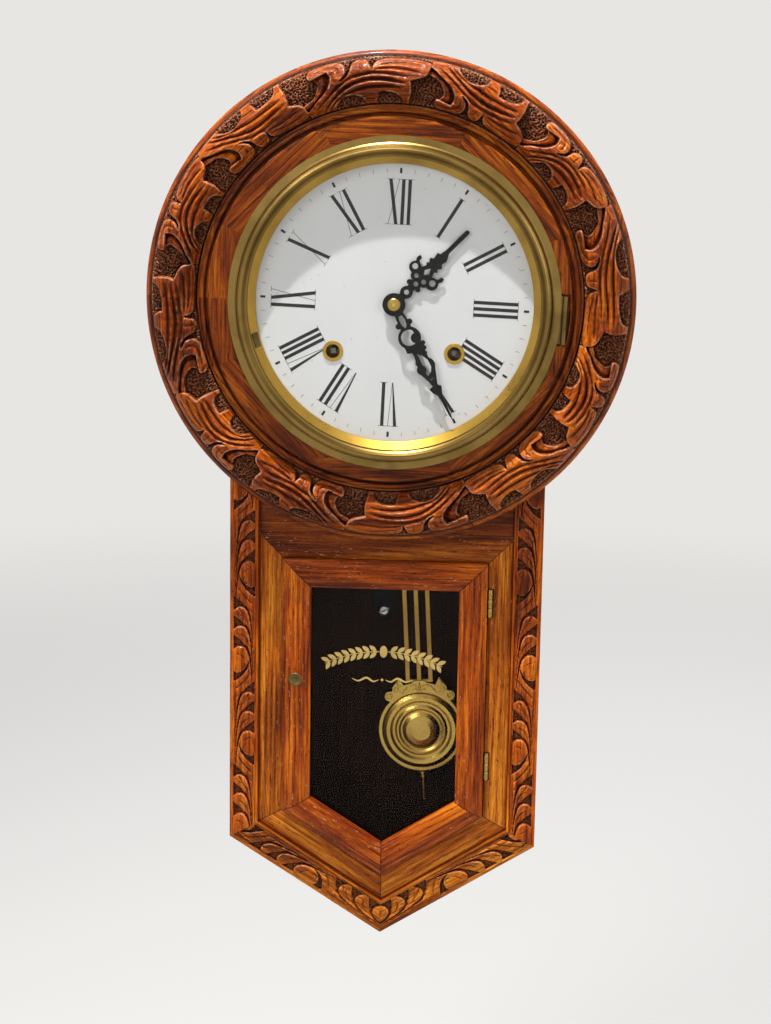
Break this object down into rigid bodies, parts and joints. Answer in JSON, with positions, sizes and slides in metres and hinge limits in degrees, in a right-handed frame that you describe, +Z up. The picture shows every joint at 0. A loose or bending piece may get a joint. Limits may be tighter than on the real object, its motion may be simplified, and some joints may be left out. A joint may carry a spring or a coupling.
{
  "type": "carved drop dial wall clock",
  "caption": "Round-headed carved wall clock with a white dial, pierced hands, glazed pendulum door, geared movement, striking train, gong and adjustable bob.",
  "frame": {"origin": "on the wall plane behind the centre of the round wooden head", "axes": "+Y into the wall (the clock faces -Y), +Z up, +X to the viewer's right"},
  "size_m": [0.4199, 0.127, 0.7859],
  "materials": {
    "carcase_wood": "plain varnished oak",
    "face_wood": "varnished open-grained oak",
    "carved_wood": "carved and varnished, worn on the high edges",
    "door_glass": "clear pane with gilt ornament",
    "dial_glass": "clear pane",
    "dial_white": "white painted sheet with black numerals",
    "polished_brass": "aged polished brass",
    "train_brass": "movement brass",
    "bob_brass": "spun and stamped brass",
    "steel": "turned steel",
    "blued_steel": "blackened steel hands",
    "cast_iron": "black cast iron"
  },
  "bodies": {
    "case": {"back_board": "carcase_wood", "side_boards": "carcase_wood", "end_boards": "carcase_wood", "head_board": "carcase_wood", "frame_top_rail": "face_wood", "frame_stiles": "face_wood", "frame_bottom_rails": "face_wood", "side_carved_strips": "carved_wood", "bottom_carved_strips": "carved_wood", "head_ring": "carved_wood", "dial_pan": "dial_white", "winding_grommets": "polished_brass", "hanger_plate": "steel", "case_screws": "steel", "frame_hinge_leaves": "polished_brass", "bezel_hinge_plate": "polished_brass", "back_plate": "train_brass", "front_plate": "train_brass", "plate_pillars": "train_brass", "movement_posts": "steel", "suspension_cock": "train_brass", "mainsprings": "steel", "gong_bracket": "cast_iron", "gong_coil": "steel"},
    "door": {"door_top_rail": "face_wood", "door_stiles": "face_wood", "door_bottom_rails": "face_wood", "door_glass": "door_glass", "door_knob": "polished_brass", "door_hinge_leaves": "polished_brass"},
    "bezel": {"bezel_ring": "polished_brass", "bezel_glass": "dial_glass", "sight_ring": "polished_brass", "glass_clip": "blued_steel", "bezel_hinge_strap": "polished_brass"},
    "minute_train": {"centre_arbor": "train_brass", "cannon_pinion": "steel", "minute_hand": "blued_steel", "hand_nut": "polished_brass"},
    "minute_wheel": {"minute_wheel": "train_brass"},
    "hour_train": {"hour_wheel": "train_brass", "hour_hand": "blued_steel"},
    "second_arbor": {"second_arbor": "train_brass"},
    "third_arbor": {"third_arbor": "train_brass"},
    "escape_arbor": {"escape_arbor": "train_brass"},
    "time_great_wheel": {"time_great_wheel": "train_brass"},
    "time_winding_arbor": {"time_winding_arbor": "steel"},
    "pendulum": {"suspension_spring": "steel", "pendulum_rod": "steel", "pendulum_strips": "bob_brass"},
    "anchor": {"anchor": "steel"},
    "bob": {"bob": "bob_brass", "bob_crown": "bob_brass"},
    "rating_nut": {"rating_nut": "bob_brass"},
    "pin_wheel": {"pin_wheel": "train_brass"},
    "strike_great_wheel": {"strike_great_wheel": "train_brass"},
    "strike_winding_arbor": {"strike_winding_arbor": "steel"},
    "warning_wheel": {"warning_wheel": "train_brass"},
    "fly": {"fly": "train_brass"},
    "strike_hammer": {"strike_hammer": "steel"}
  },
  "joints": [
    {"name": "door_swing", "type": "hinge", "parent": "case", "child": "door", "pos_m": [0.0924, -0.097, -0.34], "axis": [0, 0, 1], "range_deg": [0, 100]},
    {"name": "bezel_swing", "type": "hinge", "parent": "case", "child": "bezel", "pos_m": [0.14904, -0.1195, -0.01215], "axis": [0.0349, 0, 0.9994], "range_deg": [0, 100]},
    {"name": "minute_hand_turn", "type": "hinge", "parent": "case", "child": "minute_train", "pos_m": [0.0045, -0.06, -0.0021], "axis": [0, 1, 0], "continuous": true},
    {"name": "minute_wheel_turn", "type": "hinge", "parent": "case", "child": "minute_wheel", "pos_m": [-0.00681, -0.086, -0.01341], "axis": [0, 1, 0], "continuous": true},
    {"name": "hour_hand_turn", "type": "hinge", "parent": "case", "child": "hour_train", "pos_m": [0.0045, -0.088, -0.0021], "axis": [0, 1, 0], "continuous": true},
    {"name": "second_arbor_turn", "type": "hinge", "parent": "case", "child": "second_arbor", "pos_m": [0.03396, -0.06, -0.01326], "axis": [0, 1, 0], "continuous": true},
    {"name": "time_great_wheel_turn", "type": "hinge", "parent": "case", "child": "time_great_wheel", "pos_m": [0.0565, -0.045, -0.0436], "axis": [0, 1, 0], "continuous": true},
    {"name": "time_winding_turn", "type": "hinge", "parent": "time_great_wheel", "child": "time_winding_arbor", "pos_m": [0.0565, -0.07, -0.0436], "axis": [0, 1, 0], "continuous": true},
    {"name": "third_arbor_turn", "type": "hinge", "parent": "case", "child": "third_arbor", "pos_m": [0.0185, -0.06, 0.01885], "axis": [0, 1, 0], "continuous": true},
    {"name": "escape_wheel_turn", "type": "hinge", "parent": "case", "child": "escape_arbor", "pos_m": [0.0045, -0.06, 0.0349], "axis": [0, 1, 0], "continuous": true},
    {"name": "pendulum_swing", "type": "hinge", "parent": "case", "child": "pendulum", "pos_m": [0.0045, -0.03, 0.0599], "axis": [0, 1, 0], "range_deg": [0, 6.6]},
    {"name": "anchor_rock", "type": "hinge", "parent": "case", "child": "anchor", "pos_m": [0.0045, -0.06, 0.0599], "axis": [0, 1, 0], "range_deg": [0, 6.6]},
    {"name": "bob_slide", "type": "slide", "parent": "pendulum", "child": "bob", "axis": [-0.0576, 0, 0.9983], "range_m": [-0.004, 0.004]},
    {"name": "rating_nut_turn", "type": "hinge", "parent": "bob", "child": "rating_nut", "pos_m": [0.0337, -0.03, -0.44656], "axis": [-0.0576, 0, 0.9983], "range_deg": [-2059, 2059]},
    {"name": "pin_wheel_turn", "type": "hinge", "parent": "case", "child": "pin_wheel", "pos_m": [-0.03772, -0.06, -0.00709], "axis": [0, 1, 0], "continuous": true},
    {"name": "strike_great_wheel_turn", "type": "hinge", "parent": "case", "child": "strike_great_wheel", "pos_m": [-0.0475, -0.045, -0.0436], "axis": [0, 1, 0], "continuous": true},
    {"name": "strike_winding_turn", "type": "hinge", "parent": "strike_great_wheel", "child": "strike_winding_arbor", "pos_m": [-0.0475, -0.07, -0.0436], "axis": [0, 1, 0], "continuous": true},
    {"name": "warning_wheel_turn", "type": "hinge", "parent": "case", "child": "warning_wheel", "pos_m": [-0.02372, -0.06, 0.01716], "axis": [0, 1, 0], "continuous": true},
    {"name": "fly_turn", "type": "hinge", "parent": "case", "child": "fly", "pos_m": [-0.03028, -0.06, 0.0352], "axis": [0, 1, 0], "continuous": true},
    {"name": "hammer_lift", "type": "hinge", "parent": "case", "child": "strike_hammer", "pos_m": [0.0045, -0.06, -0.0521], "axis": [0, 1, 0], "range_deg": [0, 12]}
  ],
  "couplings": [
    {"joint": "minute_wheel_turn", "follows": "minute_hand_turn", "ratio": -0.33333},
    {"joint": "hour_hand_turn", "follows": "minute_hand_turn", "ratio": 0.083333},
    {"joint": "second_arbor_turn", "follows": "minute_hand_turn", "ratio": -0.16667},
    {"joint": "time_great_wheel_turn", "follows": "minute_hand_turn", "ratio": 0.027778},
    {"joint": "third_arbor_turn", "follows": "minute_hand_turn", "ratio": -8},
    {"joint": "escape_wheel_turn", "follows": "minute_hand_turn", "ratio": 63},
    {"joint": "anchor_rock", "follows": "pendulum_swing", "ratio": 1},
    {"joint": "rating_nut_turn", "follows": "bob_slide", "rad_per_m": 8976},
    {"joint": "strike_great_wheel_turn", "follows": "pin_wheel_turn", "ratio": -0.16667},
    {"joint": "warning_wheel_turn", "follows": "pin_wheel_turn", "ratio": -6},
    {"joint": "fly_turn", "follows": "pin_wheel_turn", "ratio": 42}
  ]
}
